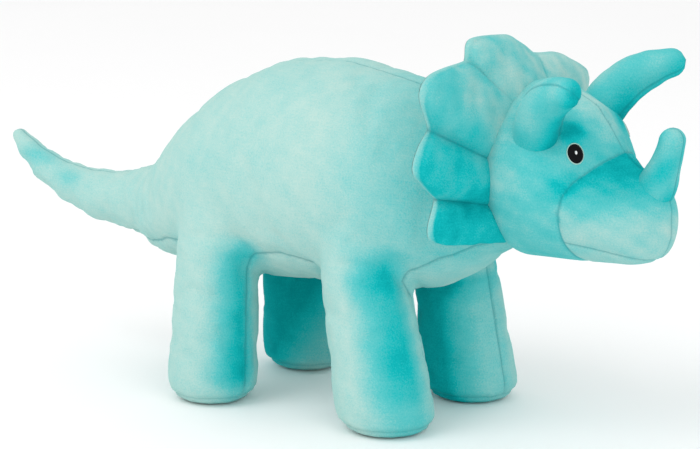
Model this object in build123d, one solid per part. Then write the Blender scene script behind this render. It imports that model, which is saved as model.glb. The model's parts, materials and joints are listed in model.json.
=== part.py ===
"""A stuffed three-horned dinosaur: sewn pile-fabric panels over separate fibre-filled chambers.

Row frame, millimetres: +X towards the snout, +Y towards the animal's left, +Z up.
The origin is on the floor, under the middle of the toy's overall box.

Each limb is its own chamber that meets its neighbour at a ball and socket, so the
bending root of a stuffed limb is a hinge through the ball's centre. Every chamber
has fabric panels cut along the real seams and a stuffing solid inside them.
"""

import math
import os

from build123d import *

# ---------------------------------------------------------------- driving sizes
FABRIC = 2.0            # pile fabric with its backing
FIT = 0.4               # air between two chambers that move against each other
BELLY_SEAM_Z = 106.0    # height of the seam between the side panels and the belly gusset
FLOOR_ROUND = 9.0       # rounding between a leg's wall and its sole
FAR = 900.0             # larger than the toy, for cutting with half spaces

# Sections across the body: x, centre height, half height, half width.
TORSO_SECTIONS = [
    (-136.0, 143.5, 50.0, 47.0),
    (-96.0, 159.0, 68.0, 65.5),
    (-32.0, 174.0, 82.0, 79.0),
    (30.0, 175.5, 83.0, 80.0),
    (100.0, 175.0, 75.0, 72.0),
    (148.0, 180.0, 52.0, 51.0),
]
HEAD_SECTIONS = [
    (164.0, 190.0, 42.0, 44.0),
    (184.0, 201.0, 58.0, 61.0),
    (218.0, 199.5, 60.0, 63.0),
    (252.0, 183.5, 46.0, 48.0),
    (283.0, 172.5, 33.0, 35.0),
    (301.5, 169.5, 14.0, 15.0),
]

NECK_PIVOT = (156.0, 0.0, 182.0)
NECK_RADIUS = 40.0

# Legs: hip centre and where the leg's axis meets the floor, both for the left side.
LEG_RADIUS_HIP = 33.0
LEG_RADIUS_FLOOR = 37.0
LEG_SWING_ROOM = 15.0   # degrees of free cone round a leg
SOLE_INSET = 10.5       # from the leg's wall to the edge of the sole
LEGS = {
    "front": ((78.0, 50.0, 118.0), (96.0, 57.0, 0.0)),
    "hind": ((-64.0, 52.0, 118.0), (-64.0, 60.0, 0.0)),
}

# Tail: radius along the axis from the root pivot, then sections of the upturned tip.
TAIL_ROOT = (-142.0, 0.0, 132.0)
TAIL_ROOT_RADIUS = 36.0
TAIL_BASE_PROFILE = [(15.5, 34.0), (41.0, 25.0), (73.0, 19.5)]  # distance, radius
TAIL_MIDDLE = (-221.5, 0.0, 130.0)
TAIL_MIDDLE_RADIUS = 14.0
TAIL_TIP_SECTIONS = [  # x, centre height, radius, tilt of the axis above level
    (-227.0, 130.5, 18.8, 8.0),
    (-245.5, 134.5, 16.0, 16.0),
    (-266.0, 142.5, 13.0, 26.0),
    (-285.0, 153.0, 10.3, 36.0),
    (-297.0, 164.0, 7.0, 45.0),
    (-300.9, 169.0, 4.0, 50.0),
]

# Brow horns and the nose horn: pivot, tip end, and radius along the axis.
HORN_PIVOT = (214.0, 42.0, 236.0)
HORN_TIP = (265.0, 88.0, 278.0)
HORN_PROFILE = [(16.0, 16.0), (38.0, 13.0), (62.0, 10.5)]
HORN_RADIUS = 16.5
HORN_END_RADIUS = 9.0
HORN_SWING_ROOM = 19.0
NOSE_HORN_PIVOT = (285.0, 0.0, 200.0)
NOSE_HORN_TIP = (298.5, 0.0, 240.5)
NOSE_HORN_PROFILE = [(10.0, 12.5), (22.0, 10.8)]
NOSE_HORN_RADIUS = 13.0
NOSE_HORN_END_RADIUS = 8.0
NOSE_HORN_SWING_ROOM = 19.0
HORN_FABRIC = 1.5

# Head seams, as lines in side view (x, z).
HEAD_BACK_X = 188.0
MUZZLE_SEAM = ((230.0, 148.0), (255.0, 224.0))
CHIN_SEAM = ((230.0, 153.0), (285.0, 141.0))

# Eyes: embroidered ovals on the head's surface.
EYE_CENTRE = (243.0, 40.0, 223.0)
EYE_HALF_WIDTH = 6.8
EYE_HALF_HEIGHT = 7.8
EYE_PROUD = 1.0
HIGHLIGHT_RADIUS = 1.5
HIGHLIGHT_PROUD = 0.4

# Frill: a padded fan round the head. It lies on a cone between two ovals.
FRILL_RIM = (196.0, 204.0, 46.0, 42.0, 0.0)     # x, height, half width, half height, tilt
FRILL_EDGE = (152.0, 199.0, 141.0, 108.0, 11.0)
FRILL_THICK = 14.0
FRILL_SEAM_WIDTH = 3.0
FRILL_HUB = (0.0, 200.0)                        # y, z that the sewn channels point at
FRILL_TOP = (0.0, 293.0)
FRILL_NOTCHES = [(45.0, 280.0), (96.0, 240.0), (106.0, 190.0)]   # y, z, left side
FRILL_TIPS = [(84.0, 271.0), (122.0, 212.0)]
FRILL_CORNER = (114.0, 163.0)
FRILL_CORNER_MID = (114.5, 177.0)
FRILL_END = (40.0, 148.0)                       # where its lower edge meets the head

SIDES = {"left": 1.0, "right": -1.0}
SEAM_TURN = 37.0        # turns each round solid's own seam line away from the cuts


# ---------------------------------------------------------------- shape helpers
def vector(point, side=1.0):
    """A point given for the left side, or its mirror image."""
    return Vector(point[0], point[1] * side, point[2])


def ball_at(centre, radius):
    """A ball whose poles lie away from the planes that the toy is cut along."""
    return Pos(*centre) * Rot(SEAM_TURN, SEAM_TURN, 0) * Sphere(radius)


def section_plane(x, z, tilt=0.0):
    """A plane across the body; tilt leans its top backwards."""
    lean = math.radians(tilt)
    return Plane(
        origin=(x, 0, z),
        x_dir=(0, 1, 0),
        z_dir=(math.cos(lean), 0, math.sin(lean)),
    )


def oval_loft(sections, inset=0.0, front_inset=0.0):
    """A smooth body through upright ovals, all its walls moved inwards by inset."""
    faces = []
    for index, (x, z, half_height, half_width) in enumerate(sections):
        last = index == len(sections) - 1
        plane = section_plane(x - (front_inset if last else 0.0), z)
        faces.append(plane * Ellipse(half_width - inset, half_height - inset))
    return loft(faces)


def slab(x0, x1, y0, y1, z0, z1):
    """A box between two corners."""
    return Pos((x0 + x1) / 2, (y0 + y1) / 2, (z0 + z1) / 2) * Box(x1 - x0, y1 - y0, z1 - z0)


def half_space(point, direction):
    """Everything on the side of point that direction points to."""
    plane = Plane(origin=point, z_dir=direction)
    return plane * Pos(0, 0, FAR / 2) * Box(FAR, FAR, FAR)


def turned(pivot, tip, ball, profile, end_radius, inset=0.0, end_inset=None):
    """A limb turned about the line from pivot to tip: a ball, a taper and a round end.

    profile lists (distance from the pivot, radius). With end_radius 0 the end is flat
    at the last distance.
    """
    axis = tip - pivot
    length = axis.length
    plane = Plane(origin=pivot, z_dir=axis)
    end_inset = inset if end_inset is None else end_inset
    points = [(ball - inset, 0.0)] + [(radius - inset, s) for s, radius in profile]
    edges = [
        ThreePointArc(
            (0, -(ball - inset)),
            ((ball - inset) * math.sqrt(0.5), -(ball - inset) * math.sqrt(0.5)),
            points[0],
        )
    ]
    if end_radius:
        round_end = end_radius - inset
        shoulder = (round_end, length - end_radius)
        crown = (0.0, length - end_inset)
        middle = (
            round_end * math.sqrt(0.5),
            length - end_radius + round_end * math.sqrt(0.5),
        )
        edges.append(Spline(*points, shoulder, tangents=((0, 1), (0, 1))))
        edges.append(ThreePointArc(shoulder, middle, crown))
        edges.append(Line(crown, (0, -(ball - inset))))
    else:
        end = points[-1][1] - end_inset
        points[-1] = (points[-1][0], end)
        edges.append(Spline(*points, tangents=((0, 1), (0, 1))))
        edges.append(Line(points[-1], (0, end)))
        edges.append(Line((0, end), (0, -(ball - inset))))
    outline = make_face(edges)
    upright = Plane.XZ * outline
    return plane * Rot(0, 0, SEAM_TURN) * revolve(upright, axis=Axis.Z, revolution_arc=360)


def swing_room(pivot, tip, radius, angle, reach):
    """The space a limb sweeps while it swings: its ball and a widening cone."""
    axis = (tip - pivot).normalized()
    wide = radius + FIT
    start = wide * math.sin(math.radians(angle))
    plane = Plane(origin=pivot - axis * start, z_dir=axis)
    cone_height = reach + start
    mouth = wide + cone_height * math.tan(math.radians(angle))
    cone = Solid.make_cone(wide, mouth, cone_height, plane)
    return ball_at(pivot, wide) + cone


def halves(shell, cut_point, direction):
    """The two sides of a shell about a plane."""
    return shell & half_space(cut_point, direction), shell & half_space(cut_point, -direction)


# ---------------------------------------------------------------- chambers
def leg_solid(pivot, foot, inset=0.0):
    """A leg's whole outer shape, or its stuffing when inset by the fabric."""
    axis = foot - pivot
    reach = axis.length + 12.0
    floor_radius = LEG_RADIUS_FLOOR
    shape = turned(
        pivot,
        foot,
        LEG_RADIUS_HIP,
        [(axis.length * 0.5, (LEG_RADIUS_HIP + floor_radius) / 2), (reach, floor_radius)],
        0.0,
        inset,
        0.0,
    )
    shape = shape & slab(-FAR, FAR, -FAR, FAR, inset, FAR)
    bottom = shape.edges().group_by(Axis.Z)[0]
    return fillet(bottom, FLOOR_ROUND - inset)


def build_leg(name, end, side):
    """One leg: outer panel, inner panel, sole and stuffing."""
    hip, floor = LEGS[end]
    pivot, foot = vector(hip, side), vector(floor, side)
    outer = leg_solid(pivot, foot)
    stuffing = leg_solid(pivot, foot, FABRIC)
    sole = Pos(foot.X, foot.Y, FABRIC / 2) * extrude(
        Ellipse(LEG_RADIUS_FLOOR - SOLE_INSET, LEG_RADIUS_FLOOR - SOLE_INSET - 1.0),
        FABRIC / 2,
        both=True,
    )
    shell = (outer - stuffing) & slab(-FAR, FAR, -FAR, FAR, -1.0, pivot.Z)
    sideways = (foot - pivot).cross(Vector(1, 0, 0)).normalized()
    if sideways.Y * side < 0:
        sideways = -sideways
    outer_panel, inner_panel = halves(shell - sole, pivot, sideways)
    return {
        f"{name}_outer_panel": outer_panel,
        f"{name}_inner_panel": inner_panel,
        f"{name}_sole": sole,
        f"{name}_stuffing": stuffing,
    }


def leg_room():
    """The sockets that four swinging legs need in the torso."""
    rooms = []
    for hip, floor in LEGS.values():
        for side in SIDES.values():
            rooms.append(
                swing_room(vector(hip, side), vector(floor, side), LEG_RADIUS_HIP, LEG_SWING_ROOM, 90.0)
            )
    return rooms


def build_torso():
    """Two side panels, the belly gusset and the stuffing, with sockets for every limb."""
    outer = oval_loft(TORSO_SECTIONS)
    inner = oval_loft(TORSO_SECTIONS, FABRIC)
    rooms = leg_room()
    rooms.append(ball_at(NECK_PIVOT, NECK_RADIUS + FIT))
    rooms.append(ball_at(TAIL_ROOT, TAIL_ROOT_RADIUS + FIT))
    shell, stuffing = outer - inner, inner
    for room in rooms:
        shell, stuffing = shell - room, stuffing - room
    upper = shell & slab(-FAR, FAR, -FAR, FAR, BELLY_SEAM_Z, FAR)
    return {
        "torso_left_panel": upper & slab(-FAR, FAR, 0, FAR, 0, FAR),
        "torso_right_panel": upper & slab(-FAR, FAR, -FAR, 0, 0, FAR),
        "belly_gusset": shell & slab(-FAR, FAR, -FAR, FAR, -1.0, BELLY_SEAM_Z),
        "torso_stuffing": stuffing,
    }


def build_tail():
    """The tail's base and its upturned tip, each of two side panels and stuffing."""
    root, middle = vector(TAIL_ROOT), vector(TAIL_MIDDLE)
    base_outer = turned(root, middle, TAIL_ROOT_RADIUS, TAIL_BASE_PROFILE, 0.0)
    base_inner = turned(root, middle, TAIL_ROOT_RADIUS, TAIL_BASE_PROFILE, 0.0, FABRIC, 0.0)
    socket = ball_at(middle, TAIL_MIDDLE_RADIUS + FIT)
    behind_root = slab(-FAR, root.X - 4.0, -FAR, FAR, 0, FAR)
    base_shell = (base_outer - base_inner - socket) & behind_root
    ball = ball_at(middle, TAIL_MIDDLE_RADIUS)
    tip_outer, tip_inner = (
        loft(
            [
                section_plane(x, z, -tilt) * Circle(radius - inset)
                for x, z, radius, tilt in TAIL_TIP_SECTIONS
            ]
        )
        for inset in (0.0, FABRIC)
    )
    parts = {
        "tail_base_stuffing": base_inner - socket,
        "tail_tip_stuffing": tip_inner + ball,
    }
    tip_shell = tip_outer - tip_inner - ball
    for label, side in SIDES.items():
        keep = slab(-FAR, FAR, min(0, side * FAR), max(0, side * FAR), 0, FAR)
        parts[f"tail_base_{label}_panel"] = base_shell & keep
        parts[f"tail_tip_{label}_panel"] = tip_shell & keep
    return parts


def build_neck():
    """The ball of stuffing and its cover that the head turns and nods on."""
    core = ball_at(NECK_PIVOT, NECK_RADIUS - FABRIC)
    return {
        "neck_stuffing": core,
        "neck_cover": ball_at(NECK_PIVOT, NECK_RADIUS) - core,
    }


def eye_parts(head_outer, side):
    """An oval of embroidery lying on the head, and its small highlight."""
    centre = vector(EYE_CENTRE, side)
    out = Vector(0.42, 0.62 * side, 0.66).normalized()
    plane = Plane(origin=centre, x_dir=out.cross(Vector(0, 0, 1)), z_dir=out)
    oval = Ellipse(EYE_HALF_WIDTH, EYE_HALF_HEIGHT)
    patch = plane * extrude(oval, EYE_PROUD) + plane * extrude(oval, -6.0)
    patch = (patch - head_outer).solids().sort_by(SortBy.VOLUME)[-1]
    glint = plane * Pos(0, 1.5, EYE_PROUD) * extrude(Circle(HIGHLIGHT_RADIUS), HIGHLIGHT_PROUD)
    return patch, glint


def side_line_space(line, upward):
    """Half space on one side of a seam given as a line in side view."""
    (x0, z0), (x1, z1) = line
    normal = Vector(-(z1 - z0), 0, x1 - x0)
    if normal.Z * upward < 0:
        normal = -normal
    return half_space((x0, 0, z0), normal)


def build_head():
    """Cheek, snout, chin and back panels, stuffing, and the embroidered eyes."""
    outer = oval_loft(HEAD_SECTIONS)
    inner = oval_loft(HEAD_SECTIONS, FABRIC, FABRIC)
    rooms = [ball_at(NECK_PIVOT, NECK_RADIUS + FIT)]
    for side in SIDES.values():
        rooms.append(
            swing_room(
                vector(HORN_PIVOT, side), vector(HORN_TIP, side), HORN_RADIUS, HORN_SWING_ROOM, 40.0
            )
        )
    rooms.append(
        swing_room(
            vector(NOSE_HORN_PIVOT),
            vector(NOSE_HORN_TIP),
            NOSE_HORN_RADIUS,
            NOSE_HORN_SWING_ROOM,
            30.0,
        )
    )
    shell, stuffing = outer - inner, inner
    for room in rooms:
        shell, stuffing = shell - room, stuffing - room
    front = shell & slab(HEAD_BACK_X, FAR, -FAR, FAR, 0, FAR)
    muzzle = side_line_space(MUZZLE_SEAM, -1.0)
    below_chin = side_line_space(CHIN_SEAM, -1.0)
    snout = front & muzzle
    cheeks = front - muzzle
    parts = {
        "head_back_panel": shell & slab(0, HEAD_BACK_X, -FAR, FAR, 0, FAR),
        "chin_gusset": snout & below_chin,
        "head_stuffing": stuffing,
    }
    snout_top = snout - below_chin
    for label, side in SIDES.items():
        keep = slab(-FAR, FAR, min(0, side * FAR), max(0, side * FAR), 0, FAR)
        parts[f"head_{label}_panel"] = cheeks & keep
        parts[f"snout_{label}_panel"] = snout_top & keep
        patch, glint = eye_parts(outer, side)
        parts[f"{label}_eye_patch"] = patch
        parts[f"{label}_eye_highlight"] = glint
    return parts, outer


def frill_cone(back):
    """The cone that the fan lies on, moved back by a distance."""
    faces = [
        section_plane(x - back, z, tilt) * Ellipse(half_width, half_height)
        for x, z, half_width, half_height, tilt in (FRILL_RIM, FRILL_EDGE)
    ]
    return loft(faces, ruled=True)


def frill_outline():
    """The fan's scalloped outline seen from the front, as a prism."""
    (y1, z1), (y2, z2), (y3, z3) = FRILL_NOTCHES
    edges = [ThreePointArc((-y1, z1), FRILL_TOP, (y1, z1))]
    for side in SIDES.values():
        points = {
            "tip3": (FRILL_TIPS[0][0] * side, FRILL_TIPS[0][1]),
            "tip2": (FRILL_TIPS[1][0] * side, FRILL_TIPS[1][1]),
            "mid": (FRILL_CORNER_MID[0] * side, FRILL_CORNER_MID[1]),
            "corner": (FRILL_CORNER[0] * side, FRILL_CORNER[1]),
            "end": (FRILL_END[0] * side, FRILL_END[1]),
        }
        edges += [
            ThreePointArc((y1 * side, z1), points["tip3"], (y2 * side, z2)),
            ThreePointArc((y2 * side, z2), points["tip2"], (y3 * side, z3)),
            ThreePointArc((y3 * side, z3), points["mid"], points["corner"]),
            Line(points["corner"], points["end"]),
        ]
    edges.append(Line((-FRILL_END[0], FRILL_END[1]), FRILL_END))
    face = section_plane(100.0, 0.0) * make_face(edges)
    return extrude(face, 120.0)


def build_frill(head_outer):
    """Front and back panels, and the batting in seven sewn channels."""
    outline = frill_outline()

    def layer(start, end):
        return (frill_cone(start) - frill_cone(end)) & outline - head_outer

    batting = layer(FABRIC, FRILL_THICK - FABRIC)
    for y, z in FRILL_NOTCHES:
        for side in SIDES.values():
            out = Vector(0, (y - FRILL_HUB[0]) * side, z - FRILL_HUB[1])
            channel = Plane(origin=(160, *FRILL_HUB), x_dir=(1, 0, 0), z_dir=out)
            batting -= channel * Pos(0, 0, 100) * Box(160, FRILL_SEAM_WIDTH, 200)
    return {
        "frill_front_panel": layer(0.0, FABRIC),
        "frill_back_panel": layer(FRILL_THICK - FABRIC, FRILL_THICK),
        "frill_batting": batting,
    }


def build_horn(pivot, tip, ball, profile, end_radius, split, names):
    """A horn: two panels that meet along its sides, and stuffing with the ball root."""
    outer = turned(pivot, tip, ball, profile, end_radius)
    stuffing = turned(pivot, tip, ball, profile, end_radius, HORN_FABRIC)
    beyond_root = half_space(pivot, tip - pivot)
    first, second = halves((outer - stuffing) & beyond_root, pivot, split)
    return {names[0]: first, names[1]: second, names[2]: stuffing}


def build_horns():
    """The two brow horns and the nose horn."""
    parts = {}
    for label, side in SIDES.items():
        pivot, tip = vector(HORN_PIVOT, side), vector(HORN_TIP, side)
        across = (tip - pivot).cross(Vector(0, 0, 1))
        upward = across.cross(tip - pivot).normalized()
        names = [f"{label}_horn_{piece}" for piece in ("upper_panel", "lower_panel", "stuffing")]
        parts |= build_horn(pivot, tip, HORN_RADIUS, HORN_PROFILE, HORN_END_RADIUS, upward, names)
    names = [f"nose_horn_{piece}" for piece in ("left_panel", "right_panel", "stuffing")]
    return parts | build_horn(
        vector(NOSE_HORN_PIVOT),
        vector(NOSE_HORN_TIP),
        NOSE_HORN_RADIUS,
        NOSE_HORN_PROFILE,
        NOSE_HORN_END_RADIUS,
        Vector(0, 1, 0),
        names,
    )


# ---------------------------------------------------------------- assembly
def build_toy():
    """Every node of the toy by name."""
    parts = build_torso() | build_tail() | build_neck()
    for end in LEGS:
        for label, side in SIDES.items():
            parts |= build_leg(f"{end}_{label}_leg", end, side)
    head, head_outer = build_head()
    return parts | head | build_frill(head_outer) | build_horns()


os.makedirs("parts", exist_ok=True)
for node, shape in build_toy().items():
    export_step(Compound(children=list(shape.solids())), f"parts/{node}.step")
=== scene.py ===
"""Looks of a stuffed three-horned dinosaur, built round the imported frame.

Lengths inside this file are millimetres in the row frame; meshes are written in metres.
The sewn skin is drawn off a smooth implicit body, cut along its seams into panels,
pinched at the seams, and given the thickness of pile fabric.
"""

import json
import math

import bmesh
import bpy
import numpy as np
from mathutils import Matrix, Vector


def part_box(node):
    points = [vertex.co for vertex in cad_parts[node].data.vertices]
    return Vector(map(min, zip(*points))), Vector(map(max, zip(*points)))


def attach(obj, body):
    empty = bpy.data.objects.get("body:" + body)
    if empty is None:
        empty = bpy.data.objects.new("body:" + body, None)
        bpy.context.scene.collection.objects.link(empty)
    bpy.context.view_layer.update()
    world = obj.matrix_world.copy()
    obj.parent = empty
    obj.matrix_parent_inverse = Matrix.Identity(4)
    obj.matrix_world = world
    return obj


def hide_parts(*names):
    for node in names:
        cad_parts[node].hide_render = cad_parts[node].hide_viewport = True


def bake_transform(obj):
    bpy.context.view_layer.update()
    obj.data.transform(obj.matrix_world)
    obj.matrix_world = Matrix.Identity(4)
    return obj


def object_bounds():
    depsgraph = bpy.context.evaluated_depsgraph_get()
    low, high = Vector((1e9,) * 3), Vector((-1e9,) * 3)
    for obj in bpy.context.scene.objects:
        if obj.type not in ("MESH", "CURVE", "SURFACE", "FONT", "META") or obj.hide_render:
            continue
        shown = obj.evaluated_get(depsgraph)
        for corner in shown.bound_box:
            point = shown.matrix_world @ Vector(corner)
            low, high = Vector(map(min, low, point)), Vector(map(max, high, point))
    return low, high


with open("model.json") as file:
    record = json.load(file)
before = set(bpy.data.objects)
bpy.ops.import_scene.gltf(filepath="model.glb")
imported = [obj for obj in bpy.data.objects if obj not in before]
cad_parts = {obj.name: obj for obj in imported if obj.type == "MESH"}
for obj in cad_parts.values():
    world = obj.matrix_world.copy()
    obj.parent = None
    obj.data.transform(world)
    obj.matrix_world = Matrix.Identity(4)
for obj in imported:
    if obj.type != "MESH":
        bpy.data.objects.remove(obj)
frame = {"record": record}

import openvdb
from mathutils import Vector
from mathutils.kdtree import KDTree

cad_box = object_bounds()
MM = 0.001
FABRIC = 1.8         # cloth and pile together
HORN_FABRIC = 1.3


# ---- places in the frame
def node_box(*nodes):
    """Lowest and highest corner of some CAD nodes, in millimetres."""
    boxes = np.array([[list(c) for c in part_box(n)] for n in nodes]) / MM
    return boxes[:, 0].min(0), boxes[:, 1].max(0)


PIVOT = {
    j["name"]: np.array(j["pos_m"]) / MM for j in frame["record"]["behaviour"]["joints"]
}
TORSO_LO, TORSO_HI = node_box("torso_left_panel", "torso_right_panel", "belly_gusset")
HEAD_LO, HEAD_HI = node_box(
    "head_left_panel", "head_right_panel", "snout_left_panel", "head_back_panel"
)
NECK = PIVOT["head_turn"]
TAIL_ROOT, TAIL_MID = PIVOT["tail_sway"], PIVOT["tail_curl"]
TAIL_LO = node_box("tail_tip_left_panel", "tail_tip_right_panel")[0]
SOLES = {}
HIPS = {}
for end in ("front", "hind"):
    for label in ("left", "right"):
        low, high = node_box(f"{end}_{label}_leg_sole")
        SOLES[end, label] = (low + high) / 2 * np.array([1, 1, 0])
        HIPS[end, label] = PIVOT[f"{end}_{label}_leg_swing"]


def rows_in(box_lo, box_hi, rows):
    """Rows of fractions (x, centre height, half height, half width) as millimetres."""
    size = box_hi - box_lo
    rows = np.array(rows, float)
    return np.stack(
        [
            box_lo[0] + rows[:, 0] * size[0],
            box_lo[2] + rows[:, 1] * size[2],
            rows[:, 2] * size[2],
            rows[:, 3] * size[1] / 2,
        ],
        1,
    )


def unit(vectors):
    """Vectors along the last axis, made one long."""
    return vectors / np.maximum(np.linalg.norm(vectors, axis=-1), 1e-9)[..., None]


# ---- implicit shapes
def union(a, b, k):
    """Smooth union of two distance fields over a blend width k."""
    h = np.clip(0.5 + 0.5 * (b - a) / k, 0, 1)
    return b + (a - b) * h - k * h * (1 - h)


def meet(a, b, k):
    """Smooth overlap of two distance fields over a blend width k."""
    return -union(-a, -b, k)


def sections(rows, x, y, z, ridge=0.0, taper=0.0, soften=27):
    """A smooth body through upright ovals; ridge sharpens its top and taper narrows its upper half."""
    fine = np.arange(rows[0, 0], rows[-1, 0] + 1.0, 1.0)
    table = [np.interp(fine, rows[:, 0], rows[:, i]) for i in (1, 2, 3)]
    table[1:] = [t * t for t in table[1:]]
    kernel = np.hanning(soften)
    kernel /= kernel.sum()
    edge = soften // 2
    table = [np.convolve(np.pad(t, edge, mode="reflect", reflect_type="odd"), kernel, "valid") for t in table]
    zc = np.interp(x, fine, table[0])
    half_height = np.sqrt(np.maximum(np.interp(x, fine, table[1]), 0.04))
    half_width = np.sqrt(np.maximum(np.interp(x, fine, table[2]), 0.04))
    up = (z - zc) / half_height
    high = np.clip(up, 0, 1)
    wide = half_width * (1 - taper * high**2)
    sharp = 2 - 0.62 * ridge * (3 - 2 * high) * high**2
    k = np.sqrt((np.abs(y) / wide + 1e-6) ** sharp + up**2)
    d = (k - 1) * np.minimum(half_height, half_width)
    return np.maximum(d, np.maximum(rows[0, 0] - x, x - rows[-1, 0]))


def round_cone(x, y, z, a, b, ra, rb):
    ab = b - a
    t = np.clip(((x - a[0]) * ab[0] + (y - a[1]) * ab[1] + (z - a[2]) * ab[2]) / (ab @ ab), 0, 1)
    dx, dy, dz = x - a[0] - t * ab[0], y - a[1] - t * ab[1], z - a[2] - t * ab[2]
    return np.sqrt(dx * dx + dy * dy + dz * dz) - (ra + (rb - ra) * t)


def chain(x, y, z, points, k):
    """Round cones from point to point, run together."""
    d = None
    for (a, ra), (b, rb) in zip(points[:-1], points[1:]):
        link = round_cone(x, y, z, np.array(a, float), np.array(b, float), ra, rb)
        d = link if d is None else union(d, link, k)
    return d


TORSO = rows_in(
    TORSO_LO,
    TORSO_HI,
    [
        (-0.105, 0.230, 0.02, 0.02),
        (-0.080, 0.230, 0.13, 0.24),
        (-0.055, 0.240, 0.19, 0.37),
        (0.032, 0.320, 0.300, 0.60),
        (0.110, 0.375, 0.373, 0.76),
        (0.204, 0.432, 0.436, 0.89),
        (0.370, 0.498, 0.499, 1.00),
        (0.563, 0.522, 0.505, 1.02),
        (0.782, 0.495, 0.469, 0.96),
        (0.877, 0.484, 0.424, 0.86),
        (0.968, 0.500, 0.360, 0.72),
        (1.032, 0.520, 0.288, 0.59),
        (1.090, 0.520, 0.185, 0.42),
        (1.125, 0.505, 0.02, 0.04),
    ],
)
TAIL = [
    (TAIL_ROOT + [14, 0, 1.5], 32.5),
    (TAIL_ROOT + [-15, 0, 0.5], 28.0),
    (TAIL_ROOT + [-40, 0, -1], 23.0),
    (TAIL_MID + [8, 0, 1], 19.6),
    (TAIL_MID + [-23, 0, 7], 15.6),
    (TAIL_MID + [-50, 0, 18], 11.8),
    (TAIL_MID + [-68, 0, 30.5], 8.4),
    (TAIL_MID + [-78, 0, 40], 6.2),
]
HEAD = rows_in(
    HEAD_LO,
    HEAD_HI,
    [
        (-0.100, 0.49, 0.02, 0.03),
        (-0.045, 0.49, 0.29, 0.48),
        (0.058, 0.487, 0.455, 0.80),
        (0.182, 0.495, 0.522, 0.97),
        (0.349, 0.490, 0.510, 0.99),
        (0.538, 0.443, 0.462, 0.87),
        (0.640, 0.375, 0.385, 0.75),
        (0.700, 0.322, 0.328, 0.68),
        (0.778, 0.286, 0.292, 0.60),
        (0.860, 0.274, 0.262, 0.49),
        (0.920, 0.269, 0.231, 0.37),
        (0.960, 0.260, 0.190, 0.25),
        (0.982, 0.258, 0.125, 0.14),
        (0.991, 0.258, 0.02, 0.03),
    ],
)
LEG_RADII = {         # at the hip and at the floor
    ("front", "right"): (32.5, 38.5),
    ("front", "left"): (31.5, 38.5),
    ("hind", "right"): (31.5, 35.5),
    ("hind", "left"): (31.0, 34.8),
}
LEG_LEAN = {          # how far each leg's middle stands forward at the hip and at the floor
    ("front", "right"): (-7.0, 1.0),
    ("front", "left"): (7.5, 3.5),
    ("hind", "right"): (2.5, 1.0),
    ("hind", "left"): (7.5, 6.5),
}
BODY_ROOM = (TAIL_LO[0] - 8, -95, -6), (NECK[0] + 56, 95, TORSO_HI[2] + 8)     # boxes round the shapes
HEAD_ROOM = (HEAD_LO[0] - 24, -76, HEAD_LO[2] - 8), (HEAD_HI[0] + 8, 76, HEAD_HI[2] + 8)
LEG_CUT = 88.0       # below the belly, where the legs' own panels start
SOLE_SEAM = 6.0
TAIL_CUT = TAIL_ROOT[0] - 8
TIP_CUT = TAIL_MID[0] + 13
NECK_CUT = TORSO_HI[0] + 2
NECK_BALL = 47.0
NECK_CLEARANCE = 2.2
WRINKLE_SHARE, WRINKLE_CAP = 0.5, 1.25     # how much of the settled cloth's wrinkles is taken over
BODY_FILL_DEPTH, HEAD_FILL_DEPTH, HORN_FILL_DEPTH, BATTING_DEPTH = 5.0, 6.0, 3.4, 2.6     # under the skin
GAP = 2.0            # between two fillings, on each side of the cut


def leg_middle(z, end, label):
    """Where a leg's middle stands, forward and across, at a height."""
    hip, foot = HIPS[end, label], SOLES[end, label]
    at_hip, at_floor = LEG_LEAN[end, label]
    t = z / hip[2]
    near = foot[0] + at_floor
    tuck = 0.16 * np.maximum(z - hip[2], 0)
    cx = near + (hip[0] + at_hip - near) * np.clip(t, -0.2, 1.2)
    return cx, foot[1] + (hip[1] - foot[1]) * t - np.sign(hip[1]) * tuck


def leg_field(x, y, z, end, label):
    hip = HIPS[end, label]
    top, low_end = LEG_RADII[end, label]
    t = z / hip[2]
    cx, cy = leg_middle(z, end, label)
    r = top + (low_end - top) * np.clip(1 - t, 0, 1) ** 1.15
    d = np.sqrt((x - cx) ** 2 + ((y - cy) * 1.03) ** 2) - r
    d = meet(d, -z, 21.0)
    return meet(d, z - hip[2] - 58, 46.0)


def neck_field(x, y, z):
    """Distance from the neck's ball."""
    return np.sqrt((x - NECK[0]) ** 2 + y * y + (z - NECK[2]) ** 2) - NECK_BALL


def body_field(x, y, z):
    d = sections(TORSO, x, y, z)
    d = union(d, chain(x, y, z, TAIL, 4.0), 22.0)
    d = union(d, neck_field(x, y, z), 8.0)
    for end, label in HIPS:
        d = union(d, leg_field(x, y, z, end, label), 10.0)
    return d


def head_field(x, y, z):
    taper = np.interp(x, [218, 236, 246, 264, 285], [0.0, 0.15, 0.45, 0.60, 0.20])
    across = np.abs(y)
    hollow = np.exp(-(((x - 252) / 9) ** 2) - ((across - 40) / 14) ** 2 - ((z - 209) / 10) ** 2)
    brow = np.exp(-(((x - 237) / 9) ** 2) - ((across - 32) / 12) ** 2 - ((z - 234) / 9) ** 2)
    return sections(HEAD, x, y, z, 1.0, taper, 17) + 4.5 * hollow - 3.0 * brow


# ---- skins
def noise(p, size, seed):
    """Smooth, repeatable lumps about size millimetres apart, between about -1 and 1."""
    rng = np.random.default_rng(seed)
    total = np.zeros(len(p))
    for _ in range(7):
        direction = rng.normal(size=3)
        direction /= np.linalg.norm(direction)
        total += np.sin(p @ direction * 2 * math.pi / (size * rng.uniform(0.7, 1.5)) + rng.uniform(0, 6.28))
    return total / 3.5


def gradient(field, p, h=0.4):
    g = np.empty_like(p)
    for axis in range(3):
        step = np.zeros(3)
        step[axis] = h
        g[:, axis] = (field(*(p + step).T) - field(*(p - step).T)) / (2 * h)
    return g


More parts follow.
